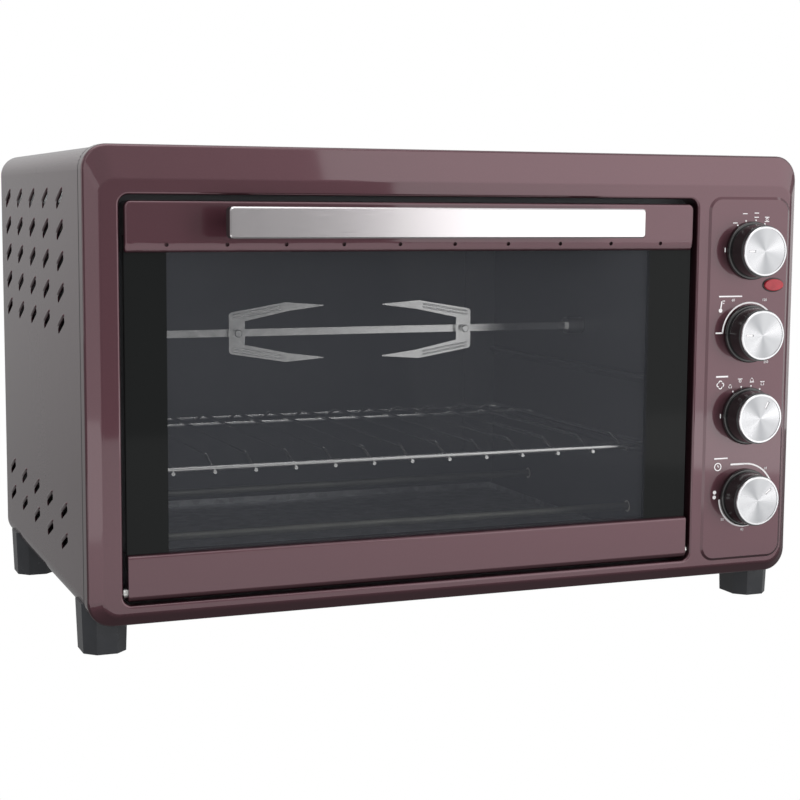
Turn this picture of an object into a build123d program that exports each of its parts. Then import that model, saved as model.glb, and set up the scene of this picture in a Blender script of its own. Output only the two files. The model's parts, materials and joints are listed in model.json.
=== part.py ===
"""Electric countertop oven with a drop-down glass door, a rotisserie and four knobs.

Millimetres. X runs to the right as the user faces the door, Y runs from the user to the
rear panel and Z runs up. The origin lies on the worktop, under the middle of the oven.
"""

from build123d import *
import os

os.makedirs("parts", exist_ok=True)

# Gaps between pieces
snug = 0.05  # round or flat fit between pieces that are fixed to each other
run = 0.05  # radial gap of a shaft that turns in its hole
glide = 0.15  # gap on each side of a piece that slides
rest = 0.3  # gap between a moving piece and its seat

# Casing
case_w = 585.0
case_h = 342.0
case_d = 365.0  # front face of the fascia to the rear panel's outside
corner_r = 18.0
sheet = 1.0  # casing and cavity sheet
foot_h = 24.0  # underside of the casing above the worktop
turn_in = 26.0  # width of the wrap's flange under the casing
rear_lip = 14.0  # width of the wrap's flange at the rear

# Fascia
fascia_t = 1.2
fascia_depth = 18.0
slope = 4.5  # how far the outer band falls back
band_left = 11.0
band_right = 7.0
band_top = 24.0
band_bottom = 8.0
border_edge_r = 2.5  # where the outer band meets the sides
crease_r = 7.0  # where the outer band meets the flat front
side_band = 25.0  # casing edge to door opening, on the left
panel_w = 94.0  # door opening to casing edge, on the right
top_band = 35.0
bottom_band = 15.0
opening_r = 7.0
opening_edge_r = 2.0  # rolled edge round the door opening
pin_hole_gap = 1.0  # round each hinge pin in the jamb
pad_t = 1.2  # raised control panel
pad_inset_left = 10.0
pad_inset_right = 8.0
pad_inset_top = 33.0
pad_inset_bottom = 13.0
pad_r = 12.0
pad_draft = 60  # degrees from upright
wrap_lap = 10.0  # how far the wrap reaches into the fascia

# Louvres in the sides
louvre_l = 27.0
louvre_h = 5.0
louvre_tilt = 22.4  # degrees, rising towards the front
louvre_pitch_y = 58.5
louvre_pitch_z = 23.3
louvre_first_y = 93.0  # behind the fascia's face
louvre_top_z = 303.0  # above the casing's underside
louvre_rows_top = 5
louvre_low_z = 45.5
louvre_rows_low = 2

# Door
door_gap = 3.6  # at each side of the door
door_gap_top = 4.0
door_gap_bottom = 2.3
door_t = 16.0
top_rail_h = 36.5
bottom_rail_h = 34.0
rail_wall = 1.5
rail_end = 6.0
rail_corner_r = 5.0
rail_edge_r = 2.0  # round the upper rail's face
rail_end_r = 0.8  # at the lower rail's ends
rail_roll_r = 4.5  # rolled lower edge of the lower rail
top_lip_h = 8.5  # curved lip between the upper rail's face and the glass
bottom_lip_h = 2.5
glass_t = 4.0
glass_setback = 4.0
glass_hold = 12.0  # glass inside each rail
vent_count = 10
vent_pitch = 44.3
vent_r = 1.5
vent_up = 5.5  # vent holes above the upper rail's lower edge

# Handle
handle_w = 328.0
handle_h = 22.0
handle_reach = 38.0
handle_plate_t = 1.5
handle_bar_t = 10.5
handle_corner_r = 3.0
handle_below_top = 15.0  # handle's middle under the door's top
handle_bevel = 1.0
post_w = 16.0
post_h = 14.0
post_inset = 22.0
handle_screw_r = 2.0
handle_screw_l = 15.0

# Door hinge
hinge_back = 7.0  # axis behind the door's face
hinge_up = 5.7  # axis above the door's lower edge
pin_r = 2.5
pin_collar_r = 4.0
pin_collar_t = 2.6
pin_in = 10.0  # length inside the rail
bracket_t = 2.0
bracket_h = 24.0
bracket_flange = 9.0
spring_r = 4.8
spring_l = 8.0
spring_leg = 10.0

# Cavity
cavity_inset_side = 16.0  # opening edge to cavity wall
cavity_inset_bottom = 7.0
cavity_inset_top = 7.0
cavity_back_y = 345.0  # behind the fascia's face
frame_reach = 12.0  # front frame beyond the door opening
back_field = 30.0  # edge of the back sheet to its pressed field
back_draft = 30  # degrees
ledge_w = 8.0
ledge_h = 8.0
rack_ledge_z = 105.0  # above the casing's underside
upper_ledge_z = 163.0
ledge_end = 8.0  # gap between a ledge and the ends of its wall

# Heating rods
heater_r = 3.25
heater_front_y = 75.0
heater_rear_y = 265.0
heater_low_z = 48.0
heater_high_z = 285.0
heater_end = 20.0  # rod end outside the cavity wall
terminal_r = 1.6
terminal_l = 8.0
bush_neck_r = 5.0
bush_head_r = 8.0
bush_head_t = 9.0

# Crumb tray
tray_gap = 5.0
tray_rim = 6.0
tray_t = 0.8

# Wire rack
rack_wire_r = 1.9
rack_bar_r = 1.4
rack_side_gap = 3.0
rack_front_gap = 8.0  # front wire behind the front frame
rack_depth = 290.0
rack_corner_r = 14.0
rack_bar_pitch = 31.5
rack_rise = 6.5
rack_ramp = 28.0
rack_bend_r = 8.0
rack_support_back = 70.0  # support bar ahead of the rear wire
weld = 0.3  # how far welded wires sink into each other

# Rotisserie
spit_y = 165.0
spit_z = 196.0
spit_side = 6.0
spit_journal_r = 2.5
spit_journal_l = 9.0
spit_point = 2.4
spit_point_l = 2.2
socket_r = 7.0
socket_l = 15.0
socket_grip = 10.0
socket_tail = 2.0  # socket beyond the cavity wall
motor_recess = 3.0  # pocket in the gearbox for the socket
gearbox_r = 6.0
drive_shaft_r = 3.5
drive_shaft_l = 14.0
gearbox_w = 48.0
gearbox_t = 20.0
motor_r = 21.0
motor_l = 16.0
support_plate = 30.0
support_plate_t = 1.5
support_r = 8.0
support_l = 10.0

# Forks
fork_left_x = 149.6  # right of the casing's left edge
fork_right_x = 364.8
fork_plate_t = 1.6
fork_web_w = 13.4
fork_half = 16.7
fork_tip_up = 21.7  # spit axis to the middle of a point
fork_corner_r = 3.0
fork_sleeve_w = 11.2
fork_groove_w = 0.9
fork_groove_depth = 0.5
tine_l = 81.3
tine_bend = 48.0
tine_flare = 7.9
tine_w = 7.0
tine_point = 0.8
thumb_r = 2.0
thumb_head_r = 3.2
thumb_head_t = 4.0
thumb_reach = 7.6  # spit axis to the thumbscrew's head
thumb_bevel = 0.6

# Knobs and controls, named from the top down
control_names = ("selector", "thermostat", "program", "timer")
pointer_turn = {"selector": -90, "thermostat": -90, "program": 29, "timer": 53}
knob_inset = 44.0  # knob axes from the casing's right edge
knob_top_z = 266.0  # above the casing's underside
knob_pitch = 67.2
knob_skirt_r = 23.5
knob_skirt_t = 3.0
knob_r = 21.6
knob_taper = 3.0
knob_clear = 0.8
knob_h = 20.5
cap_r = 20.0
cap_t = 3.0
cap_rim = 1.6
cap_dish = 0.5
cap_bevel = 0.5
pointer_w = 1.8
pointer_l = 6.6
pointer_r = 12.2  # knob axis to the pointer's middle
pointer_depth = 0.5
shaft_r = 3.0
shaft_flat = 2.1
bush_r = 5.0
bush_out = 4.0
nut_af = 13.0
nut_t = 2.2
knob_recess_r = 10.0
knob_recess_t = 4.5
control_w = 40.0
control_t = 24.0
control_r = 3.0
shaft_in = 14.0

# Indicator
lens_w = 18.4
lens_h = 9.8
lens_right = 22.4  # lens axis from the casing's right edge
lens_z = 238.2
lens_t = 2.2
lens_lip = 1.5
lamp_r = 4.5
lamp_l = 20.0

# Feet
foot_w = 34.0
foot_l = 40.0
foot_chamfer = 9.0
foot_wrap = 13.0  # how far a foot reaches up round the casing's corner
foot_taper = 2.0
foot_front_y = 18.5
foot_rear_inset = 22.0

# Screws
screw_r = 2.0
screw_head_r = 3.8
screw_head_t = 2.2
screw_l = 8.0

# Rear
gland_r = 11.0
gland_neck_r = 7.5
gland_bore_r = 3.7
gland_reach = 10.0
gland_flange_t = 3.0
gland_inset = 55.0  # from the casing's right edge
gland_z = 50.0
vent_slot_l = 42.0
vent_slot_h = 4.0
vent_slot_pitch = 12.0
vent_slot_gap = 12.0  # between the ends of neighbouring slots
side_slots = 9  # one above the other, behind the controls
top_slots = (6, 2)  # columns and rows above the cavity
base_slots = (5, 5)

# Places worked out from the sizes above
overall_d = handle_reach + case_d + gland_reach
front_y = handle_reach - overall_d / 2
rear_y = front_y + case_d
case_x0 = -case_w / 2
case_x1 = case_w / 2
case_z0 = foot_h
case_z1 = foot_h + case_h
open_x0 = case_x0 + side_band
open_x1 = case_x1 - panel_w
open_z0 = case_z0 + bottom_band
open_z1 = case_z1 - top_band
fascia_back = front_y + fascia_depth

shell_inset = fascia_t + snug
shell_x0 = case_x0 + shell_inset
shell_x1 = case_x1 - shell_inset
shell_z0 = case_z0 + shell_inset
shell_z1 = case_z1 - shell_inset
shell_r = corner_r - shell_inset
shell_y0 = fascia_back - wrap_lap
shell_y1 = rear_y - sheet

door_x0 = open_x0 + door_gap
door_x1 = open_x1 - door_gap
door_z0 = open_z0 + door_gap_bottom
door_z1 = open_z1 - door_gap_top
door_w = door_x1 - door_x0
door_mid = (door_x0 + door_x1) / 2
door_y0 = front_y
door_y1 = front_y + door_t
glass_y0 = door_y0 + glass_setback
glass_y1 = glass_y0 + glass_t
top_lip_z = door_z1 - top_rail_h
bottom_lip_z = door_z0 + bottom_rail_h
hinge_y = door_y0 + hinge_back
hinge_z = door_z0 + hinge_up

frame_y0 = fascia_back
frame_y1 = frame_y0 + sheet
cav_x0 = open_x0 + cavity_inset_side
cav_x1 = open_x1 - cavity_inset_side
cav_z0 = open_z0 + cavity_inset_bottom
cav_z1 = open_z1 - cavity_inset_top
cav_y1 = front_y + cavity_back_y

axis_y = front_y + spit_y
axis_z = case_z0 + spit_z
knob_x = case_x1 - knob_inset
knob_heights = [case_z0 + knob_top_z - i * knob_pitch for i in range(len(control_names))]
pad_y = front_y - pad_t
lens_x = case_x1 - lens_right
lens_mid_z = case_z0 + lens_z
handle_z = door_z1 - handle_below_top
handle_y0 = front_y - handle_reach


def front(y):
    """Upright plane at depth y that faces the user, with X and Z as its axes."""
    return Plane.XZ.offset(-y)


def side(x):
    """Upright plane at x that faces right, with Y and Z as its axes."""
    return Plane.YZ.offset(x)


def level(z):
    """Level plane at height z."""
    return Plane.XY.offset(z)


def rect(a0, a1, b0, b1, r=0.0, mode=Mode.ADD):
    """Rectangle between two corners of the sketch, with corner radius r."""
    with Locations(((a0 + a1) / 2, (b0 + b1) / 2)):
        if r > 0:
            RectangleRounded(a1 - a0, b1 - b0, r, mode=mode)
        else:
            Rectangle(a1 - a0, b1 - b0, mode=mode)


def block(x0, x1, y0, y1, z0, z1, mode=Mode.ADD):
    """Box between two corners."""
    with Locations(((x0 + x1) / 2, (y0 + y1) / 2, (z0 + z1) / 2)):
        Box(x1 - x0, y1 - y0, z1 - z0, mode=mode)


def rod_x(x0, x1, y, z, r, mode=Mode.ADD):
    """Round rod along X."""
    with Locations(Location(((x0 + x1) / 2, y, z), (0, 90, 0))):
        Cylinder(r, abs(x1 - x0), mode=mode)


def rod_y(x, y0, y1, z, r, mode=Mode.ADD):
    """Round rod along Y."""
    with Locations(Location((x, (y0 + y1) / 2, z), (90, 0, 0))):
        Cylinder(r, abs(y1 - y0), mode=mode)


def rod_z(x, y, z0, z1, r, mode=Mode.ADD):
    """Round rod along Z."""
    with Locations((x, y, (z0 + z1) / 2)):
        Cylinder(r, abs(z1 - z0), mode=mode)


def keep(piece, name):
    """Label a finished piece and write it."""
    piece.part.label = name
    export_step(piece.part, f"parts/{name}.step")


# Screw places: eight round the rear panel and one above each foot
rear_screw_x = case_w / 2 - rear_lip / 2 - shell_inset
rear_screw_z0 = shell_z0 + rear_lip / 2 + shell_inset
rear_screw_z1 = shell_z1 - rear_lip / 2
rear_screws = [
    (sx * rear_screw_x, z)
    for sx in (-1, 1)
    for z in (shell_z0 + case_h / 4, shell_z1 - case_h / 4)
] + [
    (sx * case_w / 4, z)
    for sx in (-1, 1)
    for z in (rear_screw_z0, rear_screw_z1)
]
foot_rear_y = rear_y - foot_rear_inset - foot_l
foot_places = {
    "front_left": (-1, front_y + foot_front_y),
    "front_right": (1, front_y + foot_front_y),
    "rear_left": (-1, foot_rear_y),
    "rear_right": (1, foot_rear_y),
}
foot_screw_x = shell_x1 - shell_r - turn_in / 4
base_top = shell_z0 + 2 * sheet + snug
foot_screws = [(sx * foot_screw_x, y0 + foot_l / 2) for sx, y0 in foot_places.values()]

# Front fascia: a pressed pan with a sloping border, a jamb round the door and a raised panel
with BuildPart() as front_fascia:
    with BuildSketch(front(fascia_back)):
        rect(case_x0, case_x1, case_z0, case_z1, corner_r)
    extrude(amount=fascia_depth - slope)
    with BuildSketch(front(front_y + slope)):
        rect(case_x0, case_x1, case_z0, case_z1, corner_r)
    with BuildSketch(front(front_y)):
        rect(case_x0 + band_left, case_x1 - band_right, case_z0 + band_bottom,
             case_z1 - band_top, pad_r)
    loft()
    for y, radius in ((front_y + slope, border_edge_r), (front_y, crease_r)):
        fillet(front_fascia.edges().filter_by_position(Axis.Y, y - glide, y + glide), radius)
    with BuildSketch(front(fascia_back)):
        rect(case_x0 + fascia_t, case_x1 - fascia_t, case_z0 + fascia_t,
             case_z1 - fascia_t, corner_r - fascia_t)
    extrude(amount=fascia_depth - slope, mode=Mode.SUBTRACT)
    with BuildSketch(front(front_y + slope)):
        rect(case_x0 + fascia_t, case_x1 - fascia_t, case_z0 + fascia_t,
             case_z1 - fascia_t, corner_r - fascia_t)
    with BuildSketch(front(front_y + fascia_t)):
        rect(case_x0 + band_left + fascia_t / 2, case_x1 - band_right - fascia_t / 2,
             case_z0 + band_bottom + fascia_t / 2, case_z1 - band_top - fascia_t / 2,
             pad_r - fascia_t / 2)
    loft(mode=Mode.SUBTRACT)
    with BuildSketch(front(fascia_back)):
        rect(open_x0 - fascia_t, open_x1 + fascia_t, open_z0 - fascia_t,
             open_z1 + fascia_t, opening_r + fascia_t)
    extrude(amount=fascia_depth - fascia_t / 2)
    with BuildSketch(front(front_y)):
        rect(open_x1 + pad_inset_left, case_x1 - pad_inset_right,
             case_z0 + pad_inset_bottom, case_z1 - pad_inset_top, pad_r)
    extrude(amount=pad_t, taper=pad_draft)
    with BuildSketch(front(fascia_back)):
        rect(open_x0, open_x1, open_z0, open_z1, opening_r)
    extrude(amount=fascia_depth + pad_t, mode=Mode.SUBTRACT)
    rim = front_fascia.edges().filter_by_position(Axis.Y, front_y - glide, front_y + glide)
    rim = rim.filter_by_position(Axis.X, open_x0 - sheet, open_x1 + sheet)
    rim = rim.filter_by_position(Axis.Z, open_z0 - sheet, open_z1 + sheet)
    fillet(rim, opening_edge_r)
    for z in knob_heights:
        rod_y(knob_x, pad_y - sheet, front_y + 2 * fascia_t, z, bush_r + glide, mode=Mode.SUBTRACT)
    with BuildSketch(front(pad_y - sheet)):
        with Locations((lens_x, lens_mid_z)):
            Ellipse(lens_w / 2 - lens_lip, lens_h / 2 - lens_lip)
    extrude(amount=-(pad_t + fascia_t + 2 * sheet), mode=Mode.SUBTRACT)
    for x in (open_x0 - fascia_t / 2, open_x1 + fascia_t / 2):
        rod_x(x - fascia_t, x + fascia_t, hinge_y, hinge_z, pin_r + pin_hole_gap,
              mode=Mode.SUBTRACT)
keep(front_fascia, "front_fascia")

# Casing wrap: top, sides and turned-in lower edges in one bent sheet, louvred at both sides
louvre_columns = 1 + int((case_d - louvre_first_y - louvre_l) / louvre_pitch_y)
with BuildPart() as outer_shell:
    with BuildSketch(front(shell_y1)):
        rect(shell_x0, shell_x1, shell_z0, shell_z1, shell_r)
        rect(shell_x0 + sheet, shell_x1 - sheet, shell_z0 + sheet, shell_z1 - sheet,
             shell_r - sheet, mode=Mode.SUBTRACT)
    extrude(amount=shell_y1 - shell_y0)
    with BuildSketch(front(shell_y1)):
        rect(shell_x0, shell_x1, shell_z0, shell_z1, shell_r)
        rect(shell_x0 + rear_lip, shell_x1 - rear_lip, shell_z0 + rear_lip, shell_z1 - rear_lip,
             sheet, mode=Mode.SUBTRACT)
    extrude(amount=sheet)
    block(shell_x0 + shell_r + turn_in, shell_x1 - shell_r - turn_in, shell_y0 - sheet,
          shell_y1 + sheet, shell_z0 - sheet, shell_z0 + rear_lip + sheet, mode=Mode.SUBTRACT)
    with BuildSketch(side(shell_x0 - sheet)):
        low_first = louvre_low_z + (louvre_rows_low - 1) * louvre_pitch_z
        for first, rows in ((louvre_top_z, louvre_rows_top), (low_first, louvre_rows_low)):
            for row in range(rows):
                for column in range(louvre_columns):
                    with Locations((front_y + louvre_first_y + column * louvre_pitch_y,
                                    case_z0 + first - row * louvre_pitch_z)):
                        SlotOverall(louvre_l, louvre_h, rotation=-louvre_tilt)
    extrude(amount=shell_x1 - shell_x0 + 2 * sheet, mode=Mode.SUBTRACT)
    for x, z in rear_screws:
        rod_y(x, shell_y1 - 2 * sheet, shell_y1 + sheet, z, screw_r + snug, mode=Mode.SUBTRACT)
    for x, y in foot_screws:
        rod_z(x, y, shell_z0 - sheet, shell_z0 + 2 * sheet, screw_r + snug, mode=Mode.SUBTRACT)
keep(outer_shell, "outer_shell")

# Rear panel: flat sheet on the wrap's rear flange, with air slots and the cord gland's hole
with BuildPart() as rear_panel:
    with BuildSketch(front(rear_y)):
        rect(shell_x0 + sheet, shell_x1 - sheet, shell_z0 + sheet, shell_z1 - sheet,
             shell_r - sheet)
        with Locations((case_x1 - panel_w / 2 - sheet, case_z0 + case_h / 2)):
            with GridLocations(vent_slot_l, vent_slot_pitch, 1, side_slots):
                SlotOverall(vent_slot_l, vent_slot_h, mode=Mode.SUBTRACT)
        with Locations((door_mid, case_z1 - top_band)):
            with GridLocations(vent_slot_l + vent_slot_gap, vent_slot_pitch, *top_slots):
                SlotOverall(vent_slot_l, vent_slot_h, mode=Mode.SUBTRACT)
        with Locations((case_x1 - gland_inset, case_z0 + gland_z)):
            Circle(gland_neck_r + snug, mode=Mode.SUBTRACT)
        with Locations(*rear_screws):
            Circle(screw_r + snug, mode=Mode.SUBTRACT)
    extrude(amount=sheet)
keep(rear_panel, "rear_panel")

# Base panel: closes the wrap below, turned up at the rear to take the rear panel's screws
with BuildPart() as base_panel:
    base_x = shell_x1 - shell_r
    base_y1 = shell_y1 - sheet - snug
    block(-base_x, base_x, shell_y0, base_y1, shell_z0 + sheet + snug, base_top)
    block(-base_x + turn_in + rest, base_x - turn_in - rest, base_y1 - snug, shell_y1,
          shell_z0 + sheet + snug, base_top)
    block(-base_x + turn_in + rest, base_x - turn_in - rest, shell_y1 - sheet, shell_y1,
          shell_z0 + sheet + snug, shell_z0 + rear_lip)
    with BuildSketch(level(shell_z0)):
        with Locations((door_mid, front_y + case_d / 2)):
            with GridLocations(2 * vent_slot_l, 3 * vent_slot_pitch, *base_slots):
                SlotOverall(vent_slot_l, vent_slot_h)
    extrude(amount=4 * sheet, mode=Mode.SUBTRACT)
    for x, y in foot_screws:
        rod_z(x, y, shell_z0, shell_z0 + 4 * sheet, screw_r + snug, mode=Mode.SUBTRACT)
    for x, z in rear_screws:
        rod_y(x, shell_y1 - 2 * sheet, shell_y1 + sheet, z, screw_r + snug, mode=Mode.SUBTRACT)
keep(base_panel, "base_panel")

# Cavity front frame: the sheet behind the fascia's jamb that carries the cavity and hinges
with BuildPart() as cavity_front_frame:
    with BuildSketch(front(frame_y1)):
        rect(open_x0 - frame_reach, open_x1 + frame_reach, open_z0 - bottom_band / 2,
             open_z1 + frame_reach)
        rect(cav_x0, cav_x1, cav_z0, cav_z1, mode=Mode.SUBTRACT)
    extrude(amount=sheet)
keep(cavity_front_frame, "cavity_front_frame")

# Heating rods, listed once for the holes in the walls, the rods and their bushes
heaters = {
    "heater_lower_front": (front_y + heater_front_y, case_z0 + heater_low_z),
    "heater_lower_rear": (front_y + heater_rear_y, case_z0 + heater_low_z),
    "heater_upper_front": (front_y + heater_front_y, case_z0 + heater_high_z),
    "heater_upper_rear": (front_y + heater_rear_y, case_z0 + heater_high_z),
}


def make_side_wall(x_in, out):
    """Cavity side wall with two pressed ledges; out is the direction away from the cavity."""
    x_out = x_in + out * sheet
    with BuildPart() as wall:
        block(min(x_in, x_out), max(x_in, x_out), frame_y1, cav_y1, cav_z0 - sheet, cav_z1 + sheet)
        for ledge_z in (rack_ledge_z, upper_ledge_z):
            top = case_z0 + ledge_z
            reach = x_in - out * ledge_w
            with BuildSketch(front(cav_y1 - ledge_end)):
                with BuildLine():
                    Polyline((x_in, top), (reach, top), (reach, top - ledge_h / 3),
                             (x_in, top - ledge_h), close=True)
                make_face()
            extrude(amount=cav_y1 - frame_y1 - 2 * ledge_end)
            with BuildSketch(front(cav_y1 - ledge_end - sheet)):
                with BuildLine():
                    Polyline((x_out + out * sheet, top - sheet), (reach + out * sheet, top - sheet),
                             (reach + out * sheet, top - ledge_h / 3),
                             (x_out + out * sheet, top - ledge_h + sheet), close=True)
                make_face()
            extrude(amount=cav_y1 - frame_y1 - 2 * (ledge_end + sheet), mode=Mode.SUBTRACT)
        for y, z in heaters.values():
            rod_x(x_in - 2 * sheet, x_in + 2 * sheet, y, z, bush_neck_r + snug, mode=Mode.SUBTRACT)
        if out > 0:
            rod_x(x_in - 2 * sheet, x_in + 2 * sheet, axis_y, axis_z, socket_r + rest,
                  mode=Mode.SUBTRACT)
    return wall


keep(make_side_wall(cav_x0, -1), "cavity_left_wall")
keep(make_side_wall(cav_x1, 1), "cavity_right_wall")

with BuildPart() as cavity_ceiling:
    block(cav_x0, cav_x1, frame_y1, cav_y1, cav_z1, cav_z1 + sheet)
keep(cavity_ceiling, "cavity_ceiling")

with BuildPart() as cavity_floor:
    block(cav_x0, cav_x1, frame_y1, cav_y1, cav_z0 - sheet, cav_z0)
keep(cavity_floor, "cavity_floor")

# Back sheet of the cavity, with a shallow pressed field that stiffens it
with BuildPart() as cavity_back:
    block(cav_x0 - sheet, cav_x1 + sheet, cav_y1, cav_y1 + sheet, cav_z0 - sheet, cav_z1 + sheet)
    with BuildSketch(front(cav_y1 + sheet)):
        rect(cav_x0 + back_field, cav_x1 - back_field, cav_z0 + back_field, cav_z1 - back_field,
             pad_r)
    extrude(amount=-2 * sheet, taper=back_draft)
    with BuildSketch(front(cav_y1)):
        inner = back_field + sheet
        rect(cav_x0 + inner, cav_x1 - inner, cav_z0 + inner, cav_z1 - inner, pad_r)
    extrude(amount=-2 * sheet, taper=back_draft, mode=Mode.SUBTRACT)
keep(cavity_back, "cavity_back")

# Crumb tray on the cavity floor
with BuildPart() as crumb_tray:
    block(cav_x0 + tray_gap, cav_x1 - tray_gap, frame_y1 + tray_gap, cav_y1 - tray_gap,
          cav_z0, cav_z0 + tray_rim)
    block(cav_x0 + tray_gap + tray_t, cav_x1 - tray_gap - tray_t, frame_y1 + tray_gap + tray_t,
          cav_y1 - tray_gap - tray_t, cav_z0 + tray_t, cav_z0 + 2 * tray_rim, mode=Mode.SUBTRACT)
keep(crumb_tray, "crumb_tray")


def make_heater(y, z):
    """Sheathed heating rod with a terminal pin at each end."""
    x0 = cav_x0 - heater_end
    x1 = cav_x1 + heater_end
    with BuildPart() as rod:
        rod_x(x0, x1, y, z, heater_r)
        rod_x(x0 - terminal_l, x0, y, z, terminal_r)
        rod_x(x1, x1 + terminal_l, y, z, terminal_r)
    return rod


for name, (y, z) in heaters.items():
    keep(make_heater(y, z), name)

# Ceramic bushes: a neck through the wall and a head outside it
with BuildPart() as heater_bushes:
    for y, z in heaters.values():
        for x_in, out in ((cav_x0, -1), (cav_x1, 1)):
            x_wall = x_in + out * sheet
            rod_x(x_in, x_wall, y, z, bush_neck_r)
            rod_x(x_wall, x_wall + out * bush_head_t, y, z, bush_head_r)
            rod_x(x_in, x_wall + out * bush_head_t, y, z, heater_r + snug, mode=Mode.SUBTRACT)
keep(heater_bushes, "heater_bushes")


def make_hinge_bracket(x_jamb, out):
    """Angle behind the fascia that holds one hinge pin; x_jamb is the jamb's hidden face."""
    x_far = x_jamb + out * bracket_t
    x_flange = x_far + out * bracket_flange
    y0 = front_y + fascia_t + snug
    z0 = hinge_z - bracket_h / 4
    with BuildPart() as bracket:
        block(min(x_jamb, x_far), max(x_jamb, x_far), y0, frame_y0, z0, z0 + bracket_h)
        block(min(x_jamb, x_flange), max(x_jamb, x_flange), frame_y0 - bracket_t, frame_y0,
              z0, z0 + bracket_h)
        rod_x(x_jamb - 2 * bracket_t, x_jamb + 2 * bracket_t, hinge_y, hinge_z, pin_r + run,
              mode=Mode.SUBTRACT)
    return bracket


keep(make_hinge_bracket(open_x0 - fascia_t, -1), "hinge_bracket_left")
keep(make_hinge_bracket(open_x1 + fascia_t, 1), "hinge_bracket_right")

# Door springs: a torsion coil round each pin's outer end, drawn as a sleeve with its leg
with BuildPart() as door_springs:
    for x_jamb, out in ((open_x0 - fascia_t, -1), (open_x1 + fascia_t, 1)):
        x0 = x_jamb + out * (bracket_t + snug)
        rod_x(x0, x0 + out * spring_l, hinge_y, hinge_z, spring_r)
        x_leg = x0 + out * spring_l / 2
        rod_z(x_leg, hinge_y + spring_r - sheet, hinge_z, hinge_z + spring_leg, sheet)
        rod_x(x0, x0 + out * spring_l, hinge_y, hinge_z, pin_r + rest, mode=Mode.SUBTRACT)
keep(door_springs, "door_springs")

# Door pins: pressed into the lower rail, with a collar in the gap beside the door
with BuildPart() as door_pins:
    for x_door, out in ((door_x0, -1), (door_x1, 1)):
        x_end = x_door + out * (door_gap + fascia_t + bracket_t + spring_l + sheet)
        rod_x(x_door - out * pin_in, x_end, hinge_y, hinge_z, pin_r)
        rod_x(x_door, x_door + out * pin_collar_t, hinge_y, hinge_z, pin_collar_r)
keep(door_pins, "door_pins")


def make_rail(lip_z, far_z, lip_h):
    """Hollow door rail with a curved lip at the glass; far_z is its outer edge."""
    way = 1 if far_z > lip_z else -1
    slot_y0 = glass_y0 - glide
    slot_y1 = glass_y1 + glide
    glass_end = lip_z + way * (glass_hold + rest)
    with BuildPart() as rail:
        with BuildSketch(side(door_x0)):
            with BuildLine():
                EllipticalCenterArc((slot_y0, lip_z + way * lip_h), slot_y0 - door_y0, lip_h,
                                    180, arc_size=90 * way)
                Polyline((slot_y0, lip_z), (door_y1, lip_z), (door_y1, far_z), (door_y0, far_z),
                         (door_y0, lip_z + way * lip_h))
            make_face()
        extrude(amount=door_w)
        block(door_x0 - sheet, door_x1 + sheet, slot_y0, slot_y1, min(lip_z - way, glass_end),
              max(lip_z - way, glass_end), mode=Mode.SUBTRACT)
        void = (lip_z + way * (lip_h + rail_wall), far_z - way * rail_wall)
        block(door_x0 + rail_end, door_x1 - rail_end, door_y0 + rail_wall, door_y1 - rail_wall,
              min(void), max(void), mode=Mode.SUBTRACT)
    return rail


# Upper rail: rounded corners, vent holes in the lip and two holes for the handle's screws
posts = (door_mid - handle_w / 2 + post_inset, door_mid + handle_w / 2 - post_inset)
upper = make_rail(top_lip_z, door_z1, top_lip_h)
with BuildPart() as door_top_rail:
    add(upper.part)
    ends = door_top_rail.edges().filter_by(Axis.Y).group_by(Axis.Z)[-1]
    fillet(ends, rail_corner_r)
    face_edges = door_top_rail.edges().filter_by(Axis.X)
    fillet(face_edges.sort_by_distance((door_mid, door_y0, door_z1))[0], rail_edge_r)
    for i in range(vent_count):
        x = door_mid + (i - (vent_count - 1) / 2) * vent_pitch
        rod_y(x, door_y0 - sheet, glass_y0 - rest, top_lip_z + vent_up, vent_r,
              mode=Mode.SUBTRACT)
    for x in posts:
        rod_y(x, door_y0 - sheet, door_y0 + 2 * rail_wall, handle_z, handle_screw_r + glide,
              mode=Mode.SUBTRACT)
keep(door_top_rail, "door_top_rail")

# Lower rail: a rolled lower edge, and a hole through it for the door pins
lower = make_rail(bottom_lip_z, door_z0, bottom_lip_h)
with BuildPart() as door_bottom_rail:
    add(lower.part)
    face_edges = door_bottom_rail.edges().filter_by(Axis.X)
    fillet(face_edges.sort_by_distance((door_mid, door_y0, door_z0))[0], rail_roll_r)
    for x in (door_x0, door_x1):
        ends = door_bottom_rail.edges().filter_by_position(Axis.X, x - glide, x + glide)
        fillet(ends.sort_by_distance((x, door_y0, bottom_lip_z - rail_corner_r))[0], rail_end_r)
    rod_x(door_x0 - sheet, door_x1 + sheet, hinge_y, hinge_z, pin_r + snug, mode=Mode.SUBTRACT)
keep(door_bottom_rail, "door_bottom_rail")

with BuildPart() as door_glass:
    block(door_x0, door_x1, glass_y0, glass_y1, bottom_lip_z - glass_hold, top_lip_z + glass_hold)
    chamfer(door_glass.edges().filter_by(Axis.Z), rest)
keep(door_glass, "door_glass")

# Handle: a bevelled face plate on a bar with two posts
with BuildPart() as handle_plate:
    with BuildSketch(front(handle_y0 + handle_plate_t)):
        rect(door_mid - handle_w / 2, door_mid + handle_w / 2, handle_z - handle_h / 2,
             handle_z + handle_h / 2, handle_corner_r)
    extrude(amount=handle_plate_t)
    chamfer(handle_plate.faces().sort_by(Axis.Y)[0].edges(), handle_bevel)
keep(handle_plate, "handle_plate")

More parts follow.
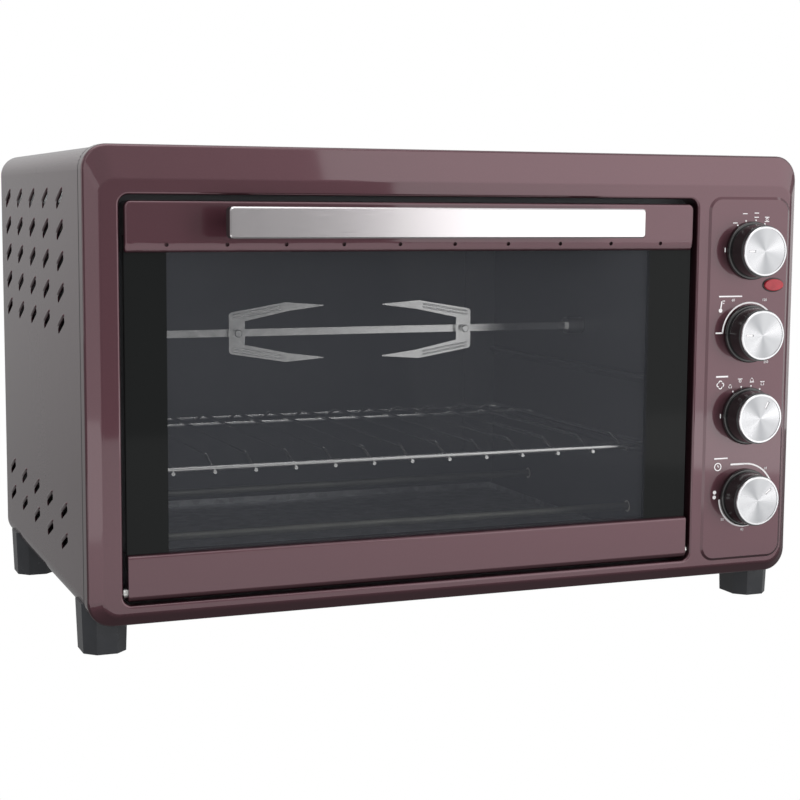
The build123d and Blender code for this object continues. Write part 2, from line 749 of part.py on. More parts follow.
bar_y0 = handle_y0 + handle_plate_t
bar_y1 = bar_y0 + handle_bar_t
with BuildPart() as handle_bar:
    with BuildSketch(front(bar_y1)):
        rect(door_mid - handle_w / 2, door_mid + handle_w / 2, handle_z - handle_h / 2,
             handle_z + handle_h / 2, handle_corner_r)
    extrude(amount=handle_bar_t)
    chamfer(handle_bar.faces().sort_by(Axis.Y)[-1].edges(), 2 * handle_bevel)
    for x in posts:
        block(x - post_w / 2, x + post_w / 2, bar_y1 - sheet, door_y0, handle_z - post_h / 2,
              handle_z + post_h / 2)
        rod_y(x, door_y0 - handle_screw_l - sheet, door_y0, handle_z, handle_screw_r + snug,
              mode=Mode.SUBTRACT)
keep(handle_bar, "handle_bar")

with BuildPart() as handle_screws:
    for x in posts:
        head_y = door_y0 + rail_wall
        rod_y(x, head_y - handle_screw_l, head_y, handle_z, handle_screw_r)
        rod_y(x, head_y, head_y + screw_head_t, handle_z, screw_head_r)
keep(handle_screws, "handle_screws")

# Spit support at the left wall: a plate and a boss with a notch that the spit drops into
with BuildPart() as spit_support:
    half = support_plate / 2
    block(cav_x0, cav_x0 + support_plate_t, axis_y - half, axis_y + half, axis_z - half,
          axis_z + half)
    rod_x(cav_x0, cav_x0 + support_l, axis_y, axis_z, support_r)
    groove_x0 = cav_x0 + support_l - spit_journal_l + 2 * sheet
    rod_x(groove_x0, cav_x0 + support_l + sheet, axis_y, axis_z, spit_journal_r + run,
          mode=Mode.SUBTRACT)
    block(groove_x0, cav_x0 + support_l + sheet, axis_y - spit_journal_r - run,
          axis_y + spit_journal_r + run, axis_z, axis_z + support_plate, mode=Mode.SUBTRACT)
keep(spit_support, "spit_support")

# Spit rod: square, with a round journal at the left and a blunt point at the right
spit_x0 = cav_x0 + support_l + rest
spit_x1 = cav_x1 - socket_l + socket_grip
with BuildPart() as spit_rod:
    half = spit_side / 2
    block(spit_x0, spit_x1, axis_y - half, axis_y + half, axis_z - half, axis_z + half)
    chamfer(spit_rod.faces().sort_by(Axis.X)[-1].edges(), spit_point, spit_point_l)
    rod_x(groove_x0 + rest, spit_x0, axis_y, axis_z, spit_journal_r)
keep(spit_rod, "spit_rod")

# Drive socket: a cup with a square hole, on the gear motor's output shaft
with BuildPart() as drive_socket:
    cup_x0 = cav_x1 - socket_l
    cup_x1 = cav_x1 + sheet + socket_tail
    rod_x(cup_x0, cup_x1, axis_y, axis_z, socket_r)
    rod_x(cup_x1, cup_x1 + drive_shaft_l, axis_y, axis_z, drive_shaft_r)
    half = spit_side / 2 + snug
    block(cup_x0 - sheet, cup_x0 + socket_grip + rest, axis_y - half, axis_y + half,
          axis_z - half, axis_z + half, mode=Mode.SUBTRACT)
keep(drive_socket, "drive_socket")

# Gear motor: a square gearbox against the right wall with a round motor behind it
with BuildPart() as rotisserie_motor:
    box_x0 = cav_x1 + sheet
    box_x1 = box_x0 + gearbox_t
    half = gearbox_w / 2
    block(box_x0, box_x1, axis_y - half, axis_y + half, axis_z - half, axis_z + half)
    fillet(rotisserie_motor.edges().filter_by(Axis.X), gearbox_r)
    rod_x(box_x1, box_x1 + motor_l, axis_y, axis_z, motor_r)
    rod_x(box_x0 - sheet, box_x0 + motor_recess, axis_y, axis_z, socket_r + rest, mode=Mode.SUBTRACT)
    rod_x(box_x0 - sheet, cup_x1 + drive_shaft_l + rest, axis_y, axis_z, drive_shaft_r + run,
          mode=Mode.SUBTRACT)
keep(rotisserie_motor, "rotisserie_motor")


def fork_outline(x, way, share):
    """Half of a line along the fork's U, from its outer edge at share 0 to its inner edge at 1."""
    inset = share * tine_w
    return [(x + way * share * fork_web_w, fork_half - inset),
            (x + way * (tine_bend + share * tine_w / 2), fork_half + tine_flare - inset),
            (x + way * tine_l, fork_tip_up + (0.5 - share) * tine_point)]


def make_fork(x, way):
    """Stamped fork at x on a sleeve; its two tines point along way, +1 right and -1 left."""
    plate_y = axis_y - fork_sleeve_w / 2 + sheet / 2
    outer = fork_outline(x, way, 0)
    inner = fork_outline(x, way, 1)
    half = outer[::-1] + [(px, -pz) for px, pz in outer]
    ring = half + [(px, -pz) for px, pz in inner[::-1]] + inner
    with BuildPart() as fork:
        with BuildSketch(front(plate_y)) as outline:
            with BuildLine():
                Polyline(*[(px, axis_z + pz) for px, pz in ring], close=True)
            make_face()
            fillet(outline.vertices().group_by(Axis.X)[0 if way > 0 else -1], fork_corner_r)
        extrude(amount=fork_plate_t)
        groove_y = plate_y - fork_plate_t + fork_groove_depth
        for up in (-1, 1):
            for share in (0.33, 0.67):
                start, bend, tip = fork_outline(x, way, share)
                with BuildSketch(front(groove_y)):
                    with BuildLine():
                        Line((start[0] + way * fork_corner_r, axis_z + up * (start[1] + sheet / 2)),
                             (bend[0] - way * tine_w, axis_z + up * (bend[1] - sheet)))
                    trace(line_width=fork_groove_w)
                extrude(amount=2 * fork_groove_depth, mode=Mode.SUBTRACT)
        ends = sorted((x + way * sheet, x + way * (fork_web_w - sheet)))
        wide = fork_sleeve_w / 2
        block(*ends, axis_y - wide, axis_y + wide, axis_z - wide, axis_z + wide)
        bore = spit_side / 2 + glide
        block(ends[0] - fork_web_w, ends[1] + fork_web_w, axis_y - bore, axis_y + bore,
              axis_z - bore, axis_z + bore, mode=Mode.SUBTRACT)
        rod_y(x + way * fork_web_w / 2, axis_y - fork_sleeve_w, axis_y, axis_z, thumb_r + snug,
              mode=Mode.SUBTRACT)
    return fork


def make_fork_screw(x, way):
    """Thumbscrew that clamps a fork on the spit."""
    screw_x = x + way * fork_web_w / 2
    tip_y = axis_y - spit_side / 2 - glide
    head_y = axis_y - thumb_reach
    with BuildPart() as screw:
        rod_y(screw_x, head_y, tip_y, axis_z, thumb_r)
        rod_y(screw_x, head_y - thumb_head_t, head_y, axis_z, thumb_head_r)
        chamfer(screw.faces().sort_by(Axis.Y)[0].edges(), thumb_bevel)
    return screw


for name, x, way in (("left", case_x0 + fork_left_x, 1), ("right", case_x0 + fork_right_x, -1)):
    keep(make_fork(x, way), f"fork_{name}")
    keep(make_fork_screw(x, way), f"fork_screw_{name}")

# Wire rack: a border wire, cross wires with a raised middle, and a support bar
rack_x0 = cav_x0 + rack_side_gap + rack_wire_r
rack_x1 = cav_x1 - rack_side_gap - rack_wire_r
rack_y0 = frame_y1 + rack_front_gap + rack_wire_r
rack_y1 = rack_y0 + rack_depth
rack_z = case_z0 + rack_ledge_z + rest + rack_wire_r
bar_low = rack_z - rack_wire_r - rack_bar_r + weld
bar_high = rack_z + rack_rise
rack_mid = (rack_x0 + rack_x1) / 2
support_z = bar_high - rack_bar_r - rack_wire_r + weld
rack_bars = 1 + int((rack_x1 - rack_x0 - 2 * rack_corner_r) / rack_bar_pitch)
with BuildPart() as wire_rack:
    for x in (rack_x0, rack_x1):
        with BuildLine(level(rack_z)) as border:
            FilletPolyline((rack_mid, rack_y0), (x, rack_y0), (x, rack_y1), (rack_mid, rack_y1),
                           radius=rack_corner_r)
        with BuildSketch(Plane(origin=(rack_mid, rack_y0, rack_z), z_dir=(1, 0, 0))):
            Circle(rack_wire_r)
        sweep(path=border.wire())
    rod_x(rack_x0, rack_x1, rack_y1 - rack_support_back, support_z, rack_wire_r)
    for i in range(rack_bars):
        x = rack_mid + (i - (rack_bars - 1) / 2) * rack_bar_pitch
        y0 = rack_y0 - rack_wire_r
        y1 = rack_y1 + rack_wire_r
        with BuildLine(side(x)) as run_line:
            FilletPolyline((y0, bar_low), (y0 + rack_wire_r * 2, bar_low),
                           (y0 + rack_ramp, bar_high), (y1 - rack_ramp, bar_high),
                           (y1 - rack_wire_r * 2, bar_low), (y1, bar_low),
                           radius=(1, rack_bend_r, rack_bend_r, 1))
        with BuildSketch(Plane(origin=(x, y0, bar_low), z_dir=(0, 1, 0))):
            Circle(rack_bar_r)
        sweep(path=run_line.wire())
keep(wire_rack, "wire_rack")

# Controls behind the fascia, their shafts, nuts, knobs and caps
def make_control(z):
    """Switch housing with a threaded bush that passes through the fascia."""
    half = control_w / 2
    y0 = front_y + fascia_t
    with BuildPart() as control:
        block(knob_x - half, knob_x + half, y0, y0 + control_t, z - half, z + half)
        fillet(control.edges().filter_by(Axis.Y), control_r)
        rod_y(knob_x, pad_y - bush_out, y0, z, bush_r)
        rod_y(knob_x, pad_y - bush_out, y0 + shaft_in + rest, z, shaft_r + run, mode=Mode.SUBTRACT)
    return control


def make_shaft(z):
    """Control shaft with a flat where the knob grips it."""
    y0 = pad_y - knob_h + cap_t + rest
    with BuildPart() as shaft:
        rod_y(knob_x, y0, front_y + fascia_t + shaft_in, z, shaft_r)
        block(knob_x - shaft_r, knob_x + shaft_r, y0 - sheet, pad_y - knob_recess_t - knob_clear,
              z + shaft_flat, z + 2 * shaft_r, mode=Mode.SUBTRACT)
    return shaft


def make_knob(z):
    """Moulded knob with a skirt, a tapered grip, a nut recess and a D-shaped hole."""
    back = pad_y - knob_clear
    seat = pad_y - knob_h + cap_t
    with BuildPart() as knob:
        with BuildSketch(front(back)):
            with Locations((knob_x, z)):
                Circle(knob_skirt_r)
        extrude(amount=knob_skirt_t)
        fillet(knob.edges().filter_by(GeomType.CIRCLE).sort_by(Axis.Y)[0], knob_skirt_t / 2)
        with BuildSketch(front(back - knob_skirt_t)):
            with Locations((knob_x, z)):
                Circle(knob_r)
        extrude(amount=back - knob_skirt_t - seat, taper=knob_taper)
        rod_y(knob_x, back - knob_recess_t, back + sheet, z, knob_recess_r, mode=Mode.SUBTRACT)
        with BuildSketch(front(back)):
            with Locations((knob_x, z)):
                Circle(shaft_r + snug)
            rect(knob_x - 2 * shaft_r, knob_x + 2 * shaft_r, z + shaft_flat + snug,
                 z + 2 * shaft_r, mode=Mode.SUBTRACT)
        extrude(amount=back - seat, mode=Mode.SUBTRACT)
    return knob


def make_cap(z, turn):
    """Spun aluminium cap with a raised rim and a pointer notch, turned clockwise from the top."""
    seat = pad_y - knob_h + cap_t
    face = seat - cap_t
    with BuildPart() as cap:
        rod_y(knob_x, face, seat, z, cap_r)
        chamfer(cap.edges().filter_by(GeomType.CIRCLE).sort_by(Axis.Y)[0], cap_bevel)
        rod_y(knob_x, face - sheet, face + cap_dish, z, cap_r - cap_rim, mode=Mode.SUBTRACT)
        with Locations(Location((knob_x, face + cap_dish, z), (0, turn, 0))):
            with Locations((0, 0, pointer_r)):
                Box(pointer_w, 2 * pointer_depth, pointer_l, mode=Mode.SUBTRACT)
    return cap


for name, z in zip(control_names, knob_heights):
    keep(make_control(z), f"{name}_control")
    keep(make_shaft(z), f"{name}_shaft")
    keep(make_knob(z), f"{name}_knob")
    keep(make_cap(z, pointer_turn[name]), f"{name}_cap")

with BuildPart() as control_nuts:
    with BuildSketch(front(pad_y)):
        with Locations(*[(knob_x, z) for z in knob_heights]):
            RegularPolygon(nut_af / 2, 6, major_radius=False)
            Circle(bush_r + snug, mode=Mode.SUBTRACT)
    extrude(amount=nut_t)
keep(control_nuts, "control_nuts")

# Indicator: an oval lens in the panel and its lamp behind it
with BuildPart() as indicator_lens:
    with BuildSketch(front(pad_y)):
        with Locations((lens_x, lens_mid_z)):
            Ellipse(lens_w / 2, lens_h / 2)
    extrude(amount=lens_t)
    fillet(indicator_lens.faces().sort_by(Axis.Y)[0].edges(), lens_t / 2)
    with BuildSketch(front(pad_y)):
        with Locations((lens_x, lens_mid_z)):
            Ellipse(lens_w / 2 - lens_lip - glide, lens_h / 2 - lens_lip - glide)
    extrude(amount=-(pad_t + fascia_t + sheet))
keep(indicator_lens, "indicator_lens")

with BuildPart() as indicator_lamp:
    lamp_y = front_y + fascia_t + sheet + snug
    rod_y(lens_x, lamp_y, lamp_y + lamp_l, lens_mid_z, lamp_r)
    fillet(indicator_lamp.faces().sort_by(Axis.Y)[-1].edges(), lamp_r / 2)
keep(indicator_lamp, "indicator_lamp")


def make_foot(side_sign, y0):
    """Foot with cut corners whose top hugs the casing's rounded lower edge."""
    x_out = side_sign * case_w / 2
    x_in = x_out - side_sign * foot_w
    top = foot_h + foot_wrap
    with BuildPart() as foot:
        with BuildSketch(level(top)) as plan:
            rect(min(x_out, x_in), max(x_out, x_in), y0, y0 + foot_l)
            chamfer(plan.vertices(), foot_chamfer)
        extrude(amount=-top, taper=foot_taper)
        with BuildSketch(front(y0 + 2 * foot_l)):
            rect(shell_x0 - snug, shell_x1 + snug, shell_z0 - snug, shell_z1, shell_r + snug)
        extrude(amount=3 * foot_l, mode=Mode.SUBTRACT)
        rod_z(side_sign * foot_screw_x, y0 + foot_l / 2, base_top - screw_l - sheet, base_top,
              screw_r + snug, mode=Mode.SUBTRACT)
    return foot


for name, (side_sign, y0) in foot_places.items():
    keep(make_foot(side_sign, y0), f"foot_{name}")

# Casing screws: one size throughout, at the rear panel and down into the feet
with BuildPart() as casing_screws:
    for x, z in rear_screws:
        rod_y(x, rear_y - screw_l, rear_y, z, screw_r)
        rod_y(x, rear_y, rear_y + screw_head_t, z, screw_head_r)
    for x, y in foot_screws:
        rod_z(x, y, base_top - screw_l, base_top, screw_r)
        rod_z(x, y, base_top, base_top + screw_head_t, screw_head_r)
keep(casing_screws, "casing_screws")

# Cord gland: a bush through the rear panel with a tapered nose
with BuildPart() as cord_gland:
    gland_x = case_x1 - gland_inset
    gland_mid = case_z0 + gland_z
    with BuildSketch(Plane(origin=(gland_x, rear_y, gland_mid), x_dir=(1, 0, 0), z_dir=(0, 0, 1))):
        with BuildLine():
            inside = sheet + gland_flange_t
            Polyline((gland_bore_r, -inside), (gland_r, -inside), (gland_r, -sheet - snug),
                     (gland_neck_r, -sheet - snug), (gland_neck_r, snug), (gland_r, snug),
                     (gland_r, gland_flange_t), (gland_bore_r + 2, gland_reach),
                     (gland_bore_r, gland_reach), close=True)
        make_face()
    revolve(axis=Axis((gland_x, rear_y, gland_mid), (0, 1, 0)))
keep(cord_gland, "cord_gland")
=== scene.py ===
# %% [markdown]
# # A countertop oven: burgundy paint, dark glass, bright steel
#
# The construction of this oven is already packed as a frame of solid pieces: casing, door,
# rack, spit, knobs. This lesson gives every piece its finish, adds the thin details that are
# easier to make as surfaces, and sets up the studio. Every new surface is worked out with
# numpy as a function of two parameters, and every finish is a small network of shader nodes
# written as Python expressions. All lengths are metres, in the frame's own coordinates.

import json
import math

import bmesh
import bpy
import numpy as np
from mathutils import Matrix, Vector


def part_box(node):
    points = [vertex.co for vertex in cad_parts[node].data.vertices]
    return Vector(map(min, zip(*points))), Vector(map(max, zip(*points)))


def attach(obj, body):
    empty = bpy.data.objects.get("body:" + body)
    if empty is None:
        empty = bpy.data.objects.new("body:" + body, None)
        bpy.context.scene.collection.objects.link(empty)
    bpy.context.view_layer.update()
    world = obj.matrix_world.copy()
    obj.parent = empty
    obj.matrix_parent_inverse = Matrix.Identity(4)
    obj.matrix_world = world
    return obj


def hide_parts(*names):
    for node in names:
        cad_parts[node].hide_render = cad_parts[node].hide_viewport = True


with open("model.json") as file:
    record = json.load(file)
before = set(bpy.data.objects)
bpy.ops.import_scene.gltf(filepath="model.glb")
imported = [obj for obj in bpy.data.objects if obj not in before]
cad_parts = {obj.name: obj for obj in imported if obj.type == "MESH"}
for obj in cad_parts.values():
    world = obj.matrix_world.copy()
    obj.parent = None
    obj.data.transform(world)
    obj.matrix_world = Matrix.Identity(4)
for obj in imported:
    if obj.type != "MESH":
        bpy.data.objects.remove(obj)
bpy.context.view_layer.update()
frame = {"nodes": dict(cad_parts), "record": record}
nodes = frame["nodes"]
mm = 0.001

# %% [markdown]
# ## The camera
#
# The view looks at the oven from the left of its middle and from just under the height of
# its top, so the left side shows as a narrow strip and the top isn't seen at all. One could
# aim the camera with a Track To constraint; plain angles are simpler to read and to repeat.
# The lens is long, as for a product picture, which keeps the sides nearly parallel.

# %% Place the camera
camera_place = (-0.5287, -1.3399, 0.3255)
turn_right = math.radians(21.963)
look_down = math.radians(6.587)
roll = math.radians(0.384)
lens_length, sensor_width = 76.35, 36  # millimetres, as on a small-format camera

forward = np.array([math.sin(turn_right) * math.cos(look_down),
                    math.cos(turn_right) * math.cos(look_down), -math.sin(look_down)])
level_right = np.array([math.cos(turn_right), -math.sin(turn_right), 0.0])
upright = np.cross(level_right, forward)
right = math.cos(roll) * level_right + math.sin(roll) * upright
above = np.cross(right, forward)

camera = bpy.data.objects.new("camera", bpy.data.cameras.new("camera"))
bpy.context.scene.collection.objects.link(camera)
camera.data.lens = lens_length
camera.data.sensor_width = sensor_width
camera.matrix_world = Matrix(
    [[right[i], above[i], -forward[i], camera_place[i]] for i in range(3)] + [[0, 0, 0, 1]])
bpy.context.scene.camera = camera
bpy.context.scene.view_settings.view_transform = "Standard"
print("camera looks along", forward.round(3))

# %% [markdown]
# ## A studio for a glossy object
#
# Glossy paint and steel show the room more than themselves, so the studio is planned by what
# each face mirrors. The door mirrors what stands in front and to the right: a large soft
# panel there gives the pale veil on the right two thirds and the white sheen on the handle,
# and where the panel ends, the left third stays deep burgundy. The side mirrors the grey
# room behind it. Two narrow panels at the sides draw the thin bright lines along rolled and
# folded edges, and a panel on the floor lights the strip below the door. A small lamp under
# the cavity's ceiling belongs to the studio too: the chrome inside would be lost without it.
# A single bright sky would be simpler, but it would bleach the paint everywhere. The camera
# itself sees plain white, as in a cut-out product picture.

# %% Soft panels
def softbox(name, place, target, width, height, radiance):
    """A rectangular area light at place, turned towards target, of a given radiance."""
    light = bpy.data.lights.new(name, "AREA")
    light.shape = "RECTANGLE"
    light.size, light.size_y = width, height
    light.energy = 4 * width * height * radiance  # an area light's radiance is power / (4 area)
    lamp = bpy.data.objects.new(name, light)
    bpy.context.scene.collection.objects.link(lamp)
    lamp.location = place
    lamp.rotation_mode = "QUATERNION"
    lamp.rotation_quaternion = (Vector(target) - Vector(place)).to_track_quat("-Z", "Y")
    lamp.visible_camera = False
    return lamp


oven_middle = (0.0, 0.0, 0.2)
softbox("panel_front_right", (1.52, -1.78, 0.9), (0.0, -0.17, 0.3), 2.0, 2.4, 1.35)
softbox("panel_front_left", (-1.27, -2.04, 0.7), oven_middle, 1.1, 2.2, 0.75)
softbox("panel_floor", (0.3, -0.87, -0.02), (0.3, -0.87, 1.0), 3.0, 1.14, 0.9)
softbox("panel_above", (-0.3, -0.6, 2.4), oven_middle, 2.2, 1.6, 1.3)
softbox("panel_left", (-2.4, 0.8, 0.8), oven_middle, 0.9, 1.6, 1.2)
softbox("panel_right", (2.6, 0.45, 0.7), oven_middle, 0.9, 1.8, 0.9)
softbox("lamp_in_cavity", (-0.03, -0.13, 0.33), (-0.03, 0.1, 0.15), 0.4, 0.03, 4.5)

# %% Grey room, white for the camera
world = bpy.data.worlds.new("room")
bpy.context.scene.world = world
world.use_nodes = True
room = world.node_tree
sky = room.nodes["Background"]
rise = room.nodes.new("ShaderNodeTexCoord")
height = room.nodes.new("ShaderNodeSeparateXYZ")
share = room.nodes.new("ShaderNodeMapRange")
share.inputs["From Min"].default_value = -1
ramp = room.nodes.new("ShaderNodeValToRGB")
grey_at = ((0.0, 0.20), (0.42, 0.26), (0.50, 0.38), (0.66, 0.66), (1.0, 0.95))
while len(ramp.color_ramp.elements) < len(grey_at):
    ramp.color_ramp.elements.new(1.0)
for stop, (where, grey) in zip(ramp.color_ramp.elements, grey_at):
    stop.position = where
    stop.color = (grey, grey, grey, 1)
white = room.nodes.new("ShaderNodeBackground")
white.inputs["Color"].default_value = (1.0, 1.0, 1.0, 1)
seen = room.nodes.new("ShaderNodeLightPath")
choice = room.nodes.new("ShaderNodeMixShader")
room.links.new(rise.outputs["Generated"], height.inputs[0])
room.links.new(height.outputs["Z"], share.inputs[0])
room.links.new(share.outputs[0], ramp.inputs[0])
room.links.new(ramp.outputs[0], sky.inputs["Color"])
room.links.new(seen.outputs["Is Camera Ray"], choice.inputs[0])
room.links.new(sky.outputs[0], choice.inputs[1])
room.links.new(white.outputs[0], choice.inputs[2])
room.links.new(choice.outputs[0], room.nodes["World Output"].inputs["Surface"])

# %% [markdown]
# ## Shader maths as Python
#
# A node network quickly turns into a web of links. Here one small class wraps an output
# socket, so that `(x > 0.1) * (x < 0.3)` adds the Math nodes by itself, and every other kind
# of node comes from its one method. The same could be clicked together in the editor; an
# expression is shorter and says what it does.

# %% The Value class
class Value:
    """An output socket of a node tree; arithmetic on it adds Math nodes."""

    def __init__(self, tree, socket):
        self.tree, self.socket = tree, socket

    def node(self, kind, settings=None, sockets=None, output=0):
        """Adds a node: first its settings, then the numbers or links of its sockets."""
        made = self.tree.nodes.new(kind)
        for name, value in (settings or {}).items():
            if name == "stops":
                stops = made.color_ramp.elements
                while len(stops) < len(value):
                    stops.new(1.0)
                for stop, (place, colour) in zip(stops, value):
                    stop.position, stop.color = place, colour
            else:
                setattr(made, name, value)
        for name, value in (sockets or {}).items():
            if isinstance(value, Value):
                self.tree.links.new(value.socket, made.inputs[name])
            else:
                made.inputs[name].default_value = value
        return Value(self.tree, made.outputs[output])

    def math(self, operation, *numbers):
        return self.node("ShaderNodeMath", {"operation": operation}, dict(enumerate(numbers)))

    def __add__(self, other):
        return self.math("ADD", self, other)

    __radd__ = __add__

    def __sub__(self, other):
        return self.math("SUBTRACT", self, other)

    def __rsub__(self, other):
        return self.math("SUBTRACT", other, self)

    def __mul__(self, other):
        return self.math("MULTIPLY", self, other)

    __rmul__ = __mul__

    def __gt__(self, other):
        return self.math("GREATER_THAN", self, other)

    def __lt__(self, other):
        return self.math("LESS_THAN", self, other)


def begin(name):
    """A new material and the Value of its object coordinates."""
    material = bpy.data.materials.new(name)
    material.use_nodes = True
    coordinates = material.node_tree.nodes.new("ShaderNodeTexCoord")
    return material, Value(material.node_tree, coordinates.outputs["Object"])


def shade(material, sockets):
    """Gives the material's Principled shader its numbers and Values."""
    principled = material.node_tree.nodes["Principled BSDF"]
    for name, value in sockets.items():
        if isinstance(value, Value):
            material.node_tree.links.new(value.socket, principled.inputs[name])
        else:
            principled.inputs[name].default_value = value
    return material


def parts(place):
    """The X, Y and Z of a vector as three Values."""
    split = place.node("ShaderNodeSeparateXYZ", None, {0: place})
    return [Value(place.tree, out) for out in split.socket.node.outputs]


def stretch(place, scale):
    """Coordinates multiplied by a scale for each axis."""
    return place.node("ShaderNodeVectorMath", {"operation": "MULTIPLY"}, {0: place, 1: scale})


def noise(place, size, detail=2.0):
    """Noise from 0 to 1 whose blotches are about size across."""
    return place.node("ShaderNodeTexNoise", None,
                      {"Vector": place, "Scale": 1 / size, "Detail": detail}, "Fac")


def blend(share, first, second):
    """A colour between two colours."""
    return share.node("ShaderNodeMix", {"data_type": "RGBA"}, {0: share, 6: first, 7: second}, 2)


def relief(height, depth):
    """A bumped normal whose hills rise by depth in metres."""
    return height.node("ShaderNodeBump", None, {"Height": height, "Distance": depth}, "Normal")


def span(value, low, high):
    """1 where value lies between low and high, and 0 outside."""
    return (value > low) * (value < high)


finishes = {}

# %% [markdown]
# ## Burgundy paint
#
# The casing's finish is a dark wine red that looks like fine metal flake under a clear
# lacquer. A plain diffuse red would look like plastic. Here the base is mostly metallic and
# fairly rough, for the flake's soft coloured glow, and a smooth clear coat over it gives the
# sharp pale reflections. Very low hills in the normal are the slight waviness of sprayed
# sheet metal.

# %% Body paint
paint, place = begin("burgundy_paint")
flake = noise(place, 0.6 * mm, 1.0)
waves = noise(place, 75 * mm) + 0.1 * noise(place, 9 * mm)
shade(paint, {
    "Base Color": blend(flake, (0.070, 0.024, 0.033, 1), (0.090, 0.033, 0.044, 1)),
    "Metallic": 0.85,
    "Roughness": 0.36 + 0.08 * flake,
    "Normal": relief(waves, 0.3 * mm),
    "Coat Weight": 1.0,
    "Coat Roughness": 0.045,
})
finishes["body_paint"] = paint

# %% [markdown]
# ## Zinc sheet and cavity sheet
#
# The rear panel and the base are left as bare zinc-plated steel, whose crystals show as dull
# and bright flakes a few millimetres wide: a Voronoi pattern gives their shape. The cavity is
# coated dark grey, so that the window looks calm and only the chrome inside catches light.

# %% Sheet metals
zinc, place = begin("zinc_sheet")
crystal = place.node("ShaderNodeTexVoronoi", None, {"Vector": place, "Scale": 1 / (7 * mm)}, "Color")
tone = crystal.node("ShaderNodeSeparateColor", None, {0: crystal})
shade(zinc, {
    "Base Color": blend(tone, (0.42, 0.43, 0.44, 1), (0.62, 0.63, 0.64, 1)),
    "Metallic": 0.9,
    "Roughness": 0.34 + 0.16 * tone,
})
finishes["bare_sheet"] = zinc

cavity, place = begin("cavity_coating")
cloud = noise(place, 30 * mm)
grain = noise(place, 0.8 * mm)
shade(cavity, {
    "Base Color": blend(cloud, (0.075, 0.078, 0.084, 1), (0.105, 0.108, 0.115, 1)),
    "Metallic": 0.25,
    "Roughness": 0.46 + 0.1 * cloud,
    "Normal": relief(grain, 0.02 * mm),
})
finishes["cavity_sheet"] = cavity

# %% [markdown]
# ## The door's glass
#
# One pane of tempered glass fills the door. Two black bands are printed on it at the sides,
# and the window between them is tinted. Both could be separate pieces, but on the real oven
# they are one, so a mask on the X coordinate chooses between an opaque and a see-through
# shader. The see-through one is a dark coat that lets part of the light pass, which stays
# quick to render and keeps the inside lit.

# %% Glass with printed borders
glass_low, glass_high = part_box("door_glass")
border_left = 30.6 * mm
border_right = 37.5 * mm
glass, place = begin("door_glass_tint")
x = parts(place)[0]
window = span(x, glass_low.x + border_left, glass_high.x - border_right)
smear = noise(place, 60 * mm)
shade(glass, {"Base Color": (0.0115, 0.0122, 0.0122, 1), "Roughness": 0.05 + 0.02 * smear,
              "Specular IOR Level": 0.05})
tint = window.node("ShaderNodeBsdfPrincipled", None, {
    "Base Color": (0.058, 0.061, 0.070, 1),
    "Roughness": 0.04 + 0.03 * smear,
    "Specular IOR Level": 0.05,
    "Alpha": 0.3,
})
border = Value(glass.node_tree, glass.node_tree.nodes["Principled BSDF"].outputs[0])
pane = window.node("ShaderNodeMixShader", None, {0: window, 1: border, 2: tint})
glass.node_tree.links.new(pane.socket, glass.node_tree.nodes["Material Output"].inputs["Surface"])
finishes["door_glass"] = glass

# %% [markdown]
# ## Steel, chrome and aluminium
#
# Brushed steel keeps its mirror along the brushing and blurs across it. Noise squeezed
# lengthwise into long threads, in the roughness and in the normal, gives that look without
# any tangent set-up. The chrome wires are plain and bright with a little grime. The knobs'
# caps are turned: their grooves run in circles round each knob's own axis, and the soft
# highlight wedges that fan out from the middle are painted into the base colour by angle,
# so both follow the radius and the angle.

# %% Brushed and bright metals
steel_plate, place = begin("brushed_steel")
threads = noise(stretch(place, (0.02, 1, 1)), 0.35 * mm)
shade(steel_plate, {
    "Base Color": blend(threads, (0.56, 0.53, 0.54, 1), (0.66, 0.63, 0.64, 1)),
    "Metallic": 1.0,
    "Roughness": 0.14 + 0.1 * threads,
    "Normal": relief(threads, 0.003 * mm),
})
finishes["handle_steel"] = steel_plate

chrome, place = begin("bright_wire")
grime = noise(place, 5 * mm)
shade(chrome, {
    "Base Color": blend(grime, (0.86, 0.86, 0.85, 1), (0.96, 0.96, 0.95, 1)),
    "Metallic": 1.0,
    "Roughness": 0.16 + 0.14 * grime,
})
finishes["wire_chrome"] = chrome

plated, place = begin("plated_steel")
spots = noise(place, 3 * mm)
shade(plated, {
    "Base Color": blend(spots, (0.50, 0.50, 0.49, 1), (0.66, 0.66, 0.64, 1)),
    "Metallic": 1.0,
    "Roughness": 0.26 + 0.16 * spots,
})
finishes["steel"] = plated

brass, place = begin("brass_terminal")
tarnish = noise(place, 4 * mm)
shade(brass, {
    "Base Color": blend(tarnish, (0.50, 0.34, 0.13, 1), (0.72, 0.53, 0.23, 1)),
    "Metallic": 1.0,
    "Roughness": 0.24 + 0.16 * tarnish,
})
finishes["brass"] = brass

# %% Turned caps
knobs = ("selector", "thermostat", "program", "timer")
groove_pitch = 0.5 * mm
turned_radius = 18.2 * mm  # the rim outside it is plain


def middle(node):
    """The centre of a node's box."""
    low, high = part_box(node)
    return (low + high) / 2


